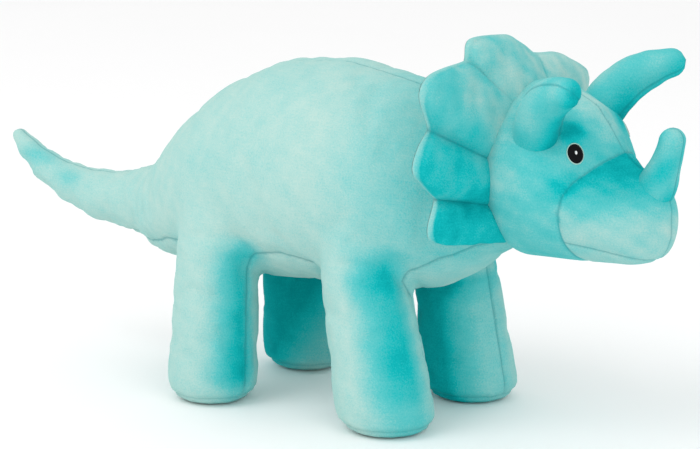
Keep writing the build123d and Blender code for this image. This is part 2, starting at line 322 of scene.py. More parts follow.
def surface(field, lo, hi, step):
    """Quads over the zero surface of a field."""
    axes = [np.arange(a, b + step, step) for a, b in zip(lo, hi)]
    x, y, z = np.meshgrid(*axes, indexing="ij", sparse=True)
    values = np.ascontiguousarray(np.broadcast_to(field(x, y, z), [len(a) for a in axes]), dtype=np.float32)
    grid = openvdb.FloatGrid(float(step * 4))
    grid.copyFromArray(values)
    points, quads = grid.convertToQuads(0.0)
    p = points.astype(float) * step + np.array(lo)
    for _ in range(4):
        g = gradient(field, p)
        p -= g * (field(*p.T) / np.maximum((g * g).sum(1), 0.05))[:, None]
    quads = quads.astype(int)
    corner = p[quads[:, 0]]
    normal = np.cross(p[quads[:, 1]] - corner, p[quads[:, 2]] - corner)
    if (normal * gradient(field, corner)).sum() < 0:
        quads = quads[:, ::-1]
    return p, quads


def cut(bm, home, value, where=None):
    """Splits the faces along the zero line of value(p), wherever where(p) is true."""
    verts = list(bm.verts)
    p = np.array([v[home] for v in verts])
    s = value(p)
    for v, a in zip(verts, s):
        c = v[home]
        v.co = (a, c[1], c[2]) if abs(a) > 0.12 else (0.0, c[1], c[2])
    faces = bm.faces
    if where is not None:
        keep = where(p)
        index = {v: i for i, v in enumerate(verts)}
        faces = [f for f in bm.faces if any(keep[index[v]] for v in f.verts)]
    geometry = set(faces)
    for f in faces:
        geometry.update(f.edges)
        geometry.update(f.verts)
    bmesh.ops.bisect_plane(bm, geom=list(geometry), dist=1e-5, plane_co=(0, 0, 0), plane_no=(1, 0, 0))


def normals_of(points, faces):
    """Smooth normals of faces with any number of corners."""
    total = np.zeros_like(points)
    for size in {len(f) for f in faces}:
        f = np.array([g for g in faces if len(g) == size])
        corner = points[f]
        n = np.zeros((len(f), 3))
        for i in range(1, size - 1):
            n += np.cross(corner[:, i] - corner[:, 0], corner[:, i + 1] - corner[:, 0])
        for i in range(size):
            np.add.at(total, f[:, i], n)
    return unit(total)


def facing(points, faces, outward):
    """The faces turned so that their normals agree with outward, and those normals."""
    normals = normals_of(points, faces)
    if (normals * outward).sum() < 0:
        return [f[::-1] for f in faces], -normals
    return faces, normals


class Skin:
    """A sewn skin: points, faces, a panel name for each face and seam distances."""

    def __init__(self, field, lo, hi, step, cuts, panel_of):
        points, quads = surface(field, lo, hi, step)
        bm = bmesh.new()
        home = bm.verts.layers.float_vector.new("home")
        verts = [bm.verts.new(p) for p in points]
        for v, p in zip(verts, points):
            v[home] = p
        for q in quads:
            bm.faces.new([verts[i] for i in q])
        for value, where in cuts:
            cut(bm, home, value, where)
        for v in bm.verts:
            v.co = v[home]
        bm.verts.index_update()
        self.points = np.array([v.co for v in bm.verts])
        self.faces = [[v.index for v in f.verts] for f in bm.faces]
        centres = np.array([np.mean(self.points[f], 0) for f in self.faces])
        self.panel = np.array(panel_of(centres))
        bm.free()
        self.seam = np.full(len(self.points), 99.0)

    def edges(self):
        found = {}
        for i, f in enumerate(self.faces):
            for a, b in zip(f, f[1:] + f[:1]):
                found.setdefault((min(a, b), max(a, b)), []).append(i)
        return found

    def measure_seams(self, sewn):
        """Distance from every point to the nearest seam, where sewn(a, b) says panels a and b are sewn."""
        on = set()
        for (a, b), faces in self.edges().items():
            if len(faces) == 2 and self.panel[faces[0]] != self.panel[faces[1]]:
                if sewn(self.panel[faces[0]], self.panel[faces[1]]):
                    on.update((a, b))
        tree = KDTree(len(on))
        for i in on:
            tree.insert(self.points[i], i)
        tree.balance()
        self.seam = np.array([tree.find(p)[2] for p in self.points])

    def normals(self):
        return normals_of(self.points, self.faces)

    def press(self, lift):
        """Moves every point along its normal."""
        self.points = self.points + self.normals() * lift[:, None]

    def wrinkle(self, cloth, scale, cap):
        """Takes over the wrinkles of a settled cloth, scaled and capped."""
        points, lift = cloth
        lift = np.clip(lift * scale, -cap, cap)
        tree = KDTree(len(points))
        for i, p in enumerate(points):
            tree.insert(p, i)
        tree.balance()
        own = np.empty(len(self.points))
        for i, p in enumerate(self.points):
            near = tree.find_n(p, 4)
            weight = np.array([1 / (0.5 + d) ** 2 for _, _, d in near])
            own[i] = (weight * lift[[k for _, k, _ in near]]).sum() / weight.sum()
        self.press(own)

    def pinch(self, depth, folds):
        """Draws the skin in at its seams, with the small gathers a sewn seam has."""
        n = self.normals()
        p = self.points
        s = self.seam
        draw = depth * np.exp(-((s / 1.9) ** 2)) + 0.55 * depth * np.exp(-((s / 8.0) ** 2))
        gathers = folds * noise(p, 8.0, 5) * np.exp(-(((s - 4) / 4.5) ** 2))
        self.points = p - n * (draw + gathers)[:, None]


def add_object(name, points, faces):
    """A smooth-shaded object from points in millimetres."""
    mesh = bpy.data.meshes.new(name)
    mesh.from_pydata((points * MM).tolist(), [], faces)
    mesh.polygons.foreach_set("use_smooth", [True] * len(mesh.polygons))
    obj = bpy.data.objects.new(name, mesh)
    bpy.context.collection.objects.link(obj)
    return obj


def turn_outward(obj):
    """Turns a closed mesh's faces outward."""
    bm = bmesh.new()
    bm.from_mesh(obj.data)
    bmesh.ops.recalc_face_normals(bm, faces=bm.faces)
    bm.to_mesh(obj.data)
    bm.free()


def settled(field, lo, hi, sewn, step=5.0, frames=20):
    """Lets slightly roomy cloth, held where sewn(points) is true, settle under the filling's pressure.

    Returns the points before settling and the wrinkles: how far each point ends up off its surroundings.
    """
    points, quads = surface(field, lo, hi, step)
    obj = add_object("settling_cloth", points, quads.tolist())
    held = obj.vertex_groups.new(name="held")
    held.add(np.flatnonzero(sewn(points)).tolist(), 1.0, "REPLACE")
    cloth = obj.modifiers.new("cloth", "CLOTH")
    settings = cloth.settings
    settings.quality = 5
    settings.mass = 0.15
    settings.tension_stiffness = settings.compression_stiffness = 15
    settings.shear_stiffness = 5
    settings.bending_stiffness = 0.4
    settings.use_pressure = True
    settings.uniform_pressure_force = 4.0
    settings.shrink_min = -0.05
    settings.vertex_group_mass = "held"
    settings.effector_weights.gravity = 0
    cloth.collision_settings.use_collision = False
    for number in range(1, frames + 1):
        bpy.context.scene.frame_set(number)
    result = obj.evaluated_get(bpy.context.evaluated_depsgraph_get())
    moved = np.empty(len(points) * 3, np.float32)
    result.to_mesh().vertices.foreach_get("co", moved)
    result.to_mesh_clear()
    bpy.context.scene.frame_set(1)
    bpy.data.objects.remove(obj)
    normal = unit(gradient(field, points))
    lift = ((moved.reshape(-1, 3) / MM - points) * normal).sum(1)
    around = lift.copy()
    pairs = np.vstack([quads[:, [i, (i + 1) % 4]] for i in range(4)])
    for _ in range(10):
        total, count = np.zeros(len(lift)), np.zeros(len(lift))
        np.add.at(total, pairs[:, 0], around[pairs[:, 1]])
        np.add.at(count, pairs[:, 0], 1)
        around = total / np.maximum(count, 1)
    return points, lift - around


def shell(name, points, faces, normals, attributes, thickness=FABRIC):
    """A closed panel of cloth: the given faces outside, their copy inside, and the edges joined."""
    used = sorted({i for f in faces for i in f})
    number = {old: new for new, old in enumerate(used)}
    outer = [[number[i] for i in f] for f in faces]
    count = len(used)
    p, n = points[used], normals[used]
    directed = {(a, b) for f in outer for a, b in zip(f, f[1:] + f[:1])}
    rims = [(b, a, a + count, b + count) for a, b in directed if (b, a) not in directed]
    every = outer + [[i + count for i in reversed(f)] for f in outer] + rims
    depth = thickness[used][:, None] if isinstance(thickness, np.ndarray) else thickness
    inner = p - n * depth
    obj = add_object(name, np.vstack([p, inner]), every)
    mesh = obj.data
    for key, value in attributes.items():
        layer = mesh.attributes.new(key, "FLOAT", "POINT")
        layer.data.foreach_set("value", np.tile(value[used], 2).astype(np.float32))
    mesh.update()
    mesh.normals_split_custom_set_from_vertices(np.vstack([n, -n]).tolist())
    return obj


def filling(name, field, lo, hi, step=5.0):
    """A closed lump of fibre filling."""
    points, quads = surface(field, lo, hi, step)
    n = unit(gradient(field, points))
    points = points + n * (0.7 * noise(points, 14.0, 9) - 0.5)[:, None]
    return add_object(name, points, quads.tolist())


# ---- the body's skin
GUSSET_X = [-195, -175, -144, -120, -100, -36, -22, 2, 20, 38, 92, 106, 134, 160, 190]
GUSSET_Y = [0, 10, 27, 42, 50, 53, 59, 62, 59, 53, 51, 49, 44, 30, 16]


def gusset(p):
    """Positive outside the belly gusset and the legs' inner panels."""
    half = np.interp(p[:, 0], GUSSET_X, GUSSET_Y)
    down = np.clip((112 - p[:, 2]) / 14, 0, 1)
    twist = 15.0 * np.clip((p[:, 0] - 60) / 20, 0, 1) * (p[:, 1] < 0) * down
    return np.abs(p[:, 1]) - half + twist - 7.5 * np.clip(1 - p[:, 2] / 118, 0, 1)


def low(p):
    """True below the line under which the gusset is sewn in."""
    return p[:, 2] < np.interp(p[:, 0], [-200, -150, -60, 200], [127, 130, 150, 180])


def body_panel(p):
    names = []
    out = gusset(p) > 0
    for q, outside, under in zip(p, out, low(p)):
        label = "left" if q[1] > 0 else "right"
        if q[0] < TIP_CUT:
            names.append(f"tail_tip_{label}_skin")
        elif q[0] < TAIL_CUT:
            names.append(f"tail_base_{label}_skin" if outside or not under else "tail_gusset_skin")
        elif q[0] > NECK_CUT and q[2] > LEG_CUT:
            names.append("neck_gusset_skin" if under and not outside else f"neck_{label}_skin")
        elif q[2] < LEG_CUT:
            end = "front" if q[0] > 10 else "hind"
            part = "sole_skin" if q[2] < SOLE_SEAM else "outer_skin" if outside else "inner_skin"
            names.append(f"{end}_{label}_leg_{part}")
        elif under and not outside:
            names.append("belly_gusset_skin")
        else:
            names.append(f"torso_{label}_skin")
    return names


def cloth_of(panel):
    """The piece of cloth that a panel belongs to, left whole across unsewn cuts."""
    if "gusset" in panel or "inner" in panel:
        return "gusset"
    if "sole" in panel:
        return panel
    return "left side" if "left" in panel else "right side"


def body_sewn(a, b):
    return cloth_of(a) != cloth_of(b)


def body_cuts():
    yield lambda p: p[:, 0] - TAIL_CUT, None
    yield lambda p: p[:, 0] - TIP_CUT, None
    yield lambda p: p[:, 0] - NECK_CUT, lambda p: p[:, 2] > LEG_CUT + 4
    yield lambda p: p[:, 2] - LEG_CUT, None
    yield lambda p: p[:, 2] - SOLE_SEAM, None
    yield gusset, lambda p: low(p) & (p[:, 0] > -198) & (p[:, 0] < 186) & (p[:, 2] > SOLE_SEAM - 1)
    yield lambda p: p[:, 1], lambda p: ~low(p) | (p[:, 0] < -150)


STEP = 2.5
body = Skin(body_field, *BODY_ROOM, STEP, body_cuts(), body_panel)
body.measure_seams(body_sewn)
slender = np.interp(body.points[:, 0], [TAIL_LO[0], TAIL_MID[0] - 10], [0.35, 1.0])
body.pinch(1.05 * slender, 0.35 * slender)


def tail_folds(p):
    """Shallow creases round the tail's root, where the rump turns into the tail."""
    wave = np.sin(2 * math.pi * (p[:, 0] - TAIL_ROOT[0] + 0.25 * p[:, 2]) / 11.0)
    return 0.6 * wave * np.exp(-(((p[:, 0] - TAIL_ROOT[0] + 6) / 14) ** 2))


def leg_creases(p):
    """Soft hollows where the flank bulges over the tops of the legs."""
    lift = np.zeros(len(p))
    for (end, label), hip in HIPS.items():
        side = 1 if label == "left" else -1
        line = hip[2] + (9 if end == "front" else 14) - 0.05 * np.abs(p[:, 0] - hip[0])
        dip = np.exp(-(((p[:, 2] - line) / 5.0) ** 2)) - 0.35 * np.exp(-(((p[:, 2] - line - 12) / 9.0) ** 2))
        reach = np.exp(-(((p[:, 0] - hip[0] - 14) / 24.0) ** 4)) * np.clip((p[:, 1] * side - 52) / 12, 0, 1)
        lift -= (1.5 if end == "front" else 0.8) * dip * reach
    return lift


def body_held(p):
    """Where the body's cloth is held: at its seams and round the soles."""
    side_seam = (np.abs(gusset(p)) < 3.5) & low(p)
    middle_seam = (np.abs(p[:, 1]) < 3.5) & ~low(p)
    return side_seam | middle_seam | (p[:, 2] < SOLE_SEAM + 2)


body.wrinkle(settled(body_field, *BODY_ROOM, body_held), WRINKLE_SHARE, WRINKLE_CAP)
body.press(tail_folds(body.points))
body.press(leg_creases(body.points))


# ---- pile colour and painted light: how deep the pile's colour reads, with painted shade and painted sheen in places
def patch(p, centre, radii, strength):
    """A soft spot of deeper colour, for the pile and for painted shade."""
    q = (p - np.array(centre, float)) / np.array(radii, float)
    return strength * np.exp(-(q * q).sum(1))


def body_nap_and_shade(p):
    """Pale over the rump and flanks, deeper towards the neck and down the fronts of the legs, with painted
    shade on the inner sides of the left legs.
    """
    x, y, z = p.T
    t = np.clip((x - 46) / 84, 0, 1)
    nap_and_painted_light = 0.10 + 0.29 * t**0.8 * np.clip((z - 96) / 40, 0.25, 1)
    nap_and_painted_light += 0.03 * noise(p, 90, 11) + 0.02 * noise(p, 30, 12)
    for (end, label), foot in SOLES.items():
        side = 1 if label == "left" else -1
        ahead = x - leg_middle(z, end, label)[0]
        outside = np.clip(((y - foot[1]) * side + 10) / 16, 0, 1)
        leg = np.clip((52 - np.abs(ahead)) / 16, 0, 1) * (y * side > 12)
        if end == "hind":
            fade = np.clip((136 - z) / 20, 0, 1) * leg
            deep = 0.90 * np.clip((ahead - 3) / 30, 0, 1) ** 1.8 * np.clip((z - 2) / 22, 0.5, 1)
        else:
            fade = np.clip((144 - z) / 18, 0, 1) * leg
            deep = 0.67 * np.clip(ahead / 28, 0, 1) * np.clip(z / 34, 0.65, 1)
            deep += patch(np.stack([ahead, z], 1), (20, 114), (20, 10), 0.24)
            deep += patch(np.stack([ahead, z], 1), (30, 62), (9, 14), 0.14)
        # On the left legs, the deep inner sides, darkest high up under the belly, and the darker band at the
        # top of the front leg are painted shade as well as pile colour; the hind leg's inner side lightens
        # towards the floor.
        if label == "right":
            inner = 0.18 + 0 * z
        elif end == "front":
            inner = np.interp(ahead - 14 * np.clip((z - 78) / 22, 0, 1), [2, 14, 30], [0.93, 0.58, 0.28])
            outside = np.clip(((y - foot[1]) + 2) / 8, 0, 1)
            deep = 0.14 + 0.35 * np.clip((z - 84) / 20, 0, 1) * np.clip((128 - z) / 20, 0, 1)
        else:
            slant = ahead - 0.6 * np.clip(z - 24, -20, 60)
            inner = np.interp(slant, [-5, 5, 15, 23, 29], [0.97, 0.82, 0.62, 0.42, 0.34])
            inner = inner - 0.3 * np.clip((14 - z) / 14, 0, 1)
        belly = np.clip((z - 98) / 8, 0, 1) * (1 - outside)
        inner = inner * (1 - belly) + 0.2 * belly
        nap_and_painted_light = nap_and_painted_light * (1 - fade) + fade * (0.10 + 0.9 * (deep * outside + inner * (1 - outside)))
    nap_and_painted_light += patch(p, (TAIL_MID[0] - 54, -9, TAIL_MID[2] + 28), (20, 12, 8), 0.30)
    nap_and_painted_light += patch(p, (TAIL_MID[0] - 20, -14, TAIL_MID[2] + 14), (12, 12, 7), 0.18)
    return np.clip(nap_and_painted_light + 0.03 * noise(p, 15, 13), 0, 1)


# ---- materials
class Look:
    """A material's node tree, with short ways to add and join nodes."""

    def __init__(self, name, **sockets):
        self.material = bpy.data.materials.new(name)
        self.material.use_nodes = True
        tree = self.material.node_tree
        self.nodes, self.links = tree.nodes, tree.links
        self.shader = tree.nodes["Principled BSDF"]
        for socket, value in sockets.items():
            self.shader.inputs[socket.replace("_", " ")].default_value = value

    def join(self, value, socket):
        """Sets a socket to a number or a colour, or links a node's output to it."""
        if isinstance(value, (int, float)):
            socket.default_value = value
        elif isinstance(value, tuple):
            socket.default_value = (*value, 1.0)
        else:
            self.links.new(value, socket)

    def attribute(self, name):
        node = self.nodes.new("ShaderNodeAttribute")
        node.attribute_name = name
        return node.outputs["Fac"]

    def noise(self, scale, detail=3.0, rough=0.6, stretch=None):
        coordinates = self.nodes.new("ShaderNodeTexCoord").outputs["Object"]
        if stretch:
            mapping = self.nodes.new("ShaderNodeMapping")
            mapping.inputs["Scale"].default_value = stretch
            self.links.new(coordinates, mapping.inputs["Vector"])
            coordinates = mapping.outputs["Vector"]
        node = self.nodes.new("ShaderNodeTexNoise")
        for socket, value in (("Scale", scale), ("Detail", detail), ("Roughness", rough)):
            node.inputs[socket].default_value = value
        self.links.new(coordinates, node.inputs["Vector"])
        return node.outputs["Fac"]

    def maths(self, operation, a, b, clamp=False):
        node = self.nodes.new("ShaderNodeMath")
        node.operation = operation
        node.use_clamp = clamp
        self.join(a, node.inputs[0])
        self.join(b, node.inputs[1])
        return node.outputs[0]

    def vary(self, value, texture, amount, operation="ADD", clamp=False):
        """The value, raised or lowered by up to half the amount as a texture runs."""
        change = self.maths("MULTIPLY", self.maths("SUBTRACT", texture, 0.5), amount)
        return self.maths(operation, value, change, clamp)

    def mix(self, factor, a, b):
        node = self.nodes.new("ShaderNodeMix")
        node.data_type = "RGBA"
        for name, kind, value in (("Factor", "VALUE", factor), ("A", "RGBA", a), ("B", "RGBA", b)):
            self.join(value, next(s for s in node.inputs if s.name == name and s.type == kind))
        return next(s for s in node.outputs if s.type == "RGBA")

    def colour(self, value):
        self.links.new(value, self.shader.inputs["Base Color"])

    def bump(self, height, strength, distance):
        node = self.nodes.new("ShaderNodeBump")
        node.inputs["Strength"].default_value = strength
        node.inputs["Distance"].default_value = distance
        self.links.new(height, node.inputs["Height"])
        self.links.new(node.outputs["Normal"], self.shader.inputs["Normal"])


PALE = (0.455, 0.645, 0.595)
MIDDLE = (0.115, 0.525, 0.525)
STRONG = (0.006, 0.455, 0.47)
# The darkest stop, darkened further to paint the shade on the inner side of the left hind leg.
DEEP_AND_SHADE = (0.0004, 0.32, 0.34)
THREAD = (0.004, 0.22, 0.25)


def velour(name):
    """Short pile: pale where it lies flat, deep where it is brushed up, soft at grazing angles; the colour
    values per point also hold painted shade and painted sheen.
    """
    look = Look(
        name,
        Roughness=0.92,
        Specular_IOR_Level=0.03,
        Sheen_Weight=0.16,
        Sheen_Roughness=0.22,
        Sheen_Tint=(0.45, 0.88, 0.82, 1),
    )
    nap_and_painted_light = look.attribute("nap_and_painted_light")
    lumps = look.noise(95.0, 4.0)
    nap_and_painted_light = look.vary(nap_and_painted_light, lumps, 0.06)
    rib = look.noise(230.0, 2.0, 0.5, (0.25, 0.25, 3.0))
    nap_and_painted_light = look.vary(nap_and_painted_light, rib, 0.10, "SUBTRACT")
    speck = look.noise(900.0, 2.0)
    nap_and_painted_light = look.vary(nap_and_painted_light, speck, 0.42, clamp=True)
    ramp = look.nodes.new("ShaderNodeValToRGB")
    ramp.color_ramp.elements[0].color = (*PALE, 1)
    ramp.color_ramp.elements[1].color = (*DEEP_AND_SHADE, 1)
    ramp.color_ramp.elements.new(0.46).color = (*MIDDLE, 1)
    ramp.color_ramp.elements.new(0.78).color = (*STRONG, 1)
    look.links.new(nap_and_painted_light, ramp.inputs["Fac"])
    line = look.maths("MULTIPLY", look.attribute("seam"), 0.50)
    look.colour(look.mix(line, ramp.outputs["Color"], THREAD))
    look.bump(look.maths("ADD", speck, look.maths("MULTIPLY", lumps, 1.6)), 0.35, 0.0006)
    return look.material


def fibre(name):
    """Loose white filling."""
    look = Look(name, Roughness=0.95, Sheen_Weight=0.3)
    strands = look.noise(420.0, 5.0, 0.7, (1.0, 0.25, 1.0))
    look.colour(look.mix(strands, (0.78, 0.78, 0.74), (0.94, 0.94, 0.92)))
    look.bump(strands, 0.6, 0.001)
    return look.material


def satin(name, colour, light):
    """Embroidery: close parallel stitches with a low gloss."""
    look = Look(name, Roughness=0.5, Specular_IOR_Level=0.08)
    stitches = look.noise(700.0, 2.0, 0.5, (0.3, 0.3, 2.5))
    look.colour(look.mix(stitches, colour, light))
    look.bump(stitches, 0.5, 0.0003)
    return look.material


VELOUR = velour("turquoise_velour")
FIBRE = fibre("polyester_fibre")
BLACK = satin("black_embroidery", (0.0015, 0.0015, 0.002), (0.006, 0.006, 0.008))
WHITE = satin("white_embroidery", (0.80, 0.80, 0.80), (0.95, 0.95, 0.95))


def finish_piece(obj, material, slot, replaced=()):
    obj.data.materials.append(material)
    if replaced:
        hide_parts(*replaced)


# ---- body pieces
REPLACED = {          # what a skin stands for, where its name alone doesn't say
    "belly_gusset_skin": ["belly_gusset"],
    "tail_gusset_skin": [],
    "neck_left_skin": ["neck_cover"],
    "neck_right_skin": [],
    "neck_gusset_skin": [],
    "head_left_skin": ["head_left_panel", "head_back_panel"],
    "chin_skin": ["chin_gusset"],
}
TAIL_BEND = ((TAIL_CUT, 0, TAIL_ROOT[2]), (TAIL_CUT - 38, 0, TAIL_ROOT[2]))
TIP_BEND = ((TIP_CUT, 0, TAIL_MID[2]), (TIP_CUT - 30, 0, TAIL_MID[2]))
NECK_BEND = ((NECK_CUT, 0, NECK[2]), (NECK_CUT + 16, 0, NECK[2]))
HEAD_BEND = ((NECK[0] + 2, 0, NECK[2]), (NECK[0] + 26, 0, NECK[2]))     # at the head's rim, by the neck; the points made from it are not used
LEG_BEND = 80.0      # a length below a leg's seam; the points made from it are not used


def bend(obj, name):
    """Bakes a tail, head, neck or leg skin or filling where it stands; a snout or chin piece rides with the
    head and any other with the torso.
    """

    def metres(ends):
        return [tuple(float(c) * MM for c in e) for e in ends]

    if name.startswith("tail_tip"):
        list(metres(TIP_BEND))
        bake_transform(obj)
    elif name.startswith("tail"):
        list(metres(TAIL_BEND))
        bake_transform(obj)
    elif name.startswith("head"):
        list(metres(HEAD_BEND))
        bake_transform(obj)
    elif name.startswith("neck"):
        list(metres(NECK_BEND))
        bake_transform(obj)
    elif "_leg_" in name:
        end, label = name.split("_")[:2]
        foot = SOLES[end, label]
        ends = ((foot[0], foot[1], LEG_CUT), (foot[0], foot[1], LEG_CUT - LEG_BEND))
        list(metres(ends))
        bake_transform(obj)
    elif name.startswith(("snout", "chin")):
        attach(obj, "head")
    else:
        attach(obj, "torso")


def add_panels(skin, nap_and_painted_light, seam_mark):
    """A closed shell of cloth for every panel of a skin."""
    normals = skin.normals()
    for name in sorted(set(skin.panel)):
        faces = [f for f, n in zip(skin.faces, skin.panel) if n == name]
        obj = shell(name, skin.points, faces, normals, {"nap_and_painted_light": nap_and_painted_light, "seam": seam_mark})
        node = name.replace("_skin", "" if "sole" in name else "_panel")
        finish_piece(obj, VELOUR, "turquoise_velour", REPLACED.get(name, [node]))
        bend(obj, name)


floor_fade = np.where(body.points[:, 2] < 14, 0.45, 1.0)
add_panels(body, body_nap_and_shade(body.points), np.exp(-((body.seam / 0.9) ** 2)) * floor_fade)


# ---- the head's skin
def muzzle(p):
    """Positive behind the curved seam in front of the eye."""
    size = HEAD_HI - HEAD_LO
    u = (p[:, 2] - HEAD_LO[2]) / size[2]
    height = [0.0, 0.12, 0.23, 0.33, 0.42, 0.52, 0.60, 0.65, 0.70]
    forward = [0.535, 0.54, 0.545, 0.555, 0.575, 0.62, 0.665, 0.70, 0.74]
    front = HEAD_LO[0] + size[0] * np.interp(u, height, forward)
    bow = 5.0 * np.clip(np.abs(p[:, 1]) / 45, 0, 1)
    return front - bow + 2 - p[:, 0]


def chin(p):
    """Positive above the seam between the snout and the chin gusset."""
    forward = [225, 238, 249, 263, 274, 282, 305]
    return p[:, 2] - np.interp(p[:, 0], forward, [159, 156, 154, 151, 148, 145, 137])


def neck_hole(p):
    return np.sqrt(((p - NECK) ** 2).sum(1)) - NECK_BALL - NECK_CLEARANCE


def head_panel(p):
    names = []
    for q, m, c in zip(p, muzzle(p), chin(p)):
        label = "left" if q[1] > 0 else "right"
        if m > 0:
            names.append(f"head_{label}_skin")
        else:
            names.append(f"snout_{label}_skin" if c > 0 else "chin_skin")
    return names


def head_cuts():
    yield lambda p: p[:, 1], None
    yield muzzle, None
    yield chin, lambda p: muzzle(p) < 3


head = Skin(head_field, *HEAD_ROOM, 2.0, head_cuts(), head_panel)
centres = np.array([np.mean(head.points[f], 0) for f in head.faces])
open_back = neck_hole(centres) > 0
head.faces = [f for f, keep in zip(head.faces, open_back) if keep]
head.panel = head.panel[open_back]
head.measure_seams(lambda a, b: True)
head.pinch(1.0, 0.3)


def head_nap_and_shade(p):
    """Pale at the back rim and the crown, middling on the cheeks, deep by the horns and on the bridge; the
    spot at each horn's base is painted shade.
    """
    size = HEAD_HI - HEAD_LO
    u = (p - HEAD_LO) / size
    high = np.clip((u[:, 2] - 0.25) / 0.2, 0, 1)
    nap_and_painted_light = 0.49 * (1 - high) + high * np.interp(u[:, 0], [0.05, 0.2, 0.4, 0.6], [0.27, 0.39, 0.51, 0.56])
    ahead = muzzle(p) < 0
    bridge = np.clip((u[:, 2] - 0.24) / 0.30, 0, 1)
    nap_and_painted_light = np.where(ahead, 0.23 + 0.66 * bridge**1.2, nap_and_painted_light)
    # The first spot of each pair is painted shade where the horn shades the head; the second is a deeper spot
    # lower on the cheek.
    for side in (-1, 1):
        for forward, across, up, length, strength in ((0.53, 35, 0.79, 12, 0.5), (0.52, 47, 0.51, 9, 0.28)):
            spot = (HEAD_LO[0] + forward * size[0], across * side, HEAD_LO[2] + up * size[2])
            nap_and_painted_light += patch(p, spot, (length, 14, 9), strength)
    nap_and_painted_light -= patch(u, (0.52, 0.5, 0.88), (0.22, 0.19, 0.26), 0.30)
    return np.clip(nap_and_painted_light + 0.06 * noise(p, 30, 21) + 0.05 * noise(p, 11, 22), 0, 1)


add_panels(head, head_nap_and_shade(head.points), np.exp(-((head.seam / 0.8) ** 2)))


# ---- curves and tubes
def spline(rows, count):
    """A smooth curve through rows of numbers, evenly by row number (Catmull-Rom)."""
    rows = np.array(rows, float)
    padded = np.vstack([2 * rows[0] - rows[1], rows, 2 * rows[-1] - rows[-2]])
    t = np.linspace(0, len(rows) - 1, count)
    i = np.minimum(t.astype(int), len(rows) - 2)
    f = (t - i)[:, None]
    a, b, c, d = (padded[i + k] for k in range(4))
    return 0.5 * (2 * b + (c - a) * f + (2 * a - 5 * b + 4 * c - d) * f**2 + (3 * b - a - 3 * c + d) * f**3)


def horn(name, rows, up, names, replaced, nap_and_painted_light_of, rings=46, around=44):
    """A stuffed horn along a curve: rows are x, y, z, radius. Two panels meet at its top and bottom."""
    line = spline(rows, rings)
    centre, radius = line[:, :3], line[:, 3]
    length = np.concatenate([[0], np.cumsum(np.linalg.norm(np.diff(centre, axis=0), axis=1))])
    end = radius[-1]
    reach = np.clip((length - (length[-1] - end)) / end, 0, 1)
    radius = radius * np.sqrt(np.maximum(1 - reach**2, 0.0008))
    tangent = unit(np.gradient(centre, axis=0))
    side = unit(np.cross(tangent, np.array(up, float)))
    top = np.cross(side, tangent)
    angle = np.linspace(0, 2 * math.pi, around, endpoint=False)
    ring = top[:, None] * np.cos(angle)[None, :, None] + side[:, None] * np.sin(angle)[None, :, None]
    from_seam = np.minimum(np.abs(np.sin(angle)), 1.0) * radius[:, None]
    draw = 0.6 * np.exp(-((from_seam / 1.5) ** 2)) + 0.3 * np.exp(-((from_seam / 5) ** 2))
    r = radius[:, None] - draw * np.clip(radius / 5, 0, 1)[:, None]
    points = (centre[:, None] + ring * r[:, :, None]).reshape(-1, 3)
    points += ring.reshape(-1, 3) * (0.30 * noise(points, 16, 31))[:, None]
    faces, panel = [], []
    for i in range(rings - 1):
        for j in range(around):
            k = (j + 1) % around
            faces.append([i * around + j, i * around + k, (i + 1) * around + k, (i + 1) * around + j])
            panel.append(0 if j < around // 2 else 1)
    faces.append([(rings - 1) * around + j for j in range(around)])
    panel.append(0)
    faces, normals = facing(points, faces, ring.reshape(-1, 3))
    seam = np.exp(-((from_seam / 0.7) ** 2)).reshape(-1)
    for n, which in zip(names, (0, 1)):
        chosen = [f for f, s in zip(faces, panel) if s == which]
        obj = shell(n, points, chosen, normals, {"nap_and_painted_light": nap_and_painted_light_of(points), "seam": seam}, HORN_FABRIC)
        finish_piece(obj, VELOUR, "turquoise_velour", [replaced[which]])
        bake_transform(obj)
    core = [(c, q) for c, q, k in zip(centre[::4], radius[::4], reach[::4]) if k < 0.35]
    inside = filling(
        f"{name}_fill",
        lambda x, y, z: chain(x, y, z, [(c, max(q - HORN_FILL_DEPTH, 1.5)) for c, q in core], 3.0),
        points.min(0) - 4,
        points.max(0) + 4,
        3.0,
    )
    finish_piece(inside, FIBRE, "polyester_fibre", [replaced[2]])
    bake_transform(inside)


SHADED_SIDE_WAY = np.array([0.776, 0.517, -0.362])     # painted shade: the side of the horns turned from the key light, the same way on both horns, is painted deeper


def brow_horn(label):
    side = 1 if label == "left" else -1
    pivot = PIVOT[f"{label}_horn_flex"]
    rows = [
        (-7, -7, -16, 17.0),
        (1, 4, 2, 17.2),
        (8, 12, 14.0, 16.9),
        (19, 20, 25.5, 15.7),
        (34, 29, 33.5, 12.6),
        (50, 41, 38.0, 8.6),
    ]
    path = [(pivot[0] + x, pivot[1] + y * side, pivot[2] + z, r) for x, y, z, r in rows]
    axis = np.array([51, 46 * side, 42.0])
    axis /= np.linalg.norm(axis)

    def nap_and_painted_light_of(p):
        from_pivot = p - pivot
        t = np.clip(from_pivot @ axis / 70, 0, 1)
        off = (from_pivot - np.outer(from_pivot @ axis, axis)) @ SHADED_SIDE_WAY / 17
        # The 0.36 term is painted shade, deeper on the side turned from the key light.
        return np.clip(0.76 - 0.10 * t + 0.36 * np.clip(off, -1, 1) + 0.10 * noise(p, 24, 41), 0, 1)

    horn(
        f"{label}_horn",
        path,
        (-0.77, 0.37 * side, 0.52),
        [f"{label}_horn_first_skin", f"{label}_horn_second_skin"],
        [f"{label}_horn_upper_panel", f"{label}_horn_lower_panel", f"{label}_horn_stuffing"],
        nap_and_painted_light_of,
    )


for label in ("left", "right"):
    brow_horn(label)

NOSE = PIVOT["nose_horn_flex"]


def nose_nap(p):
    return np.clip(0.62 - 0.004 * (p[:, 2] - NOSE[2]) + 0.15 * noise(p, 18, 43), 0, 1)


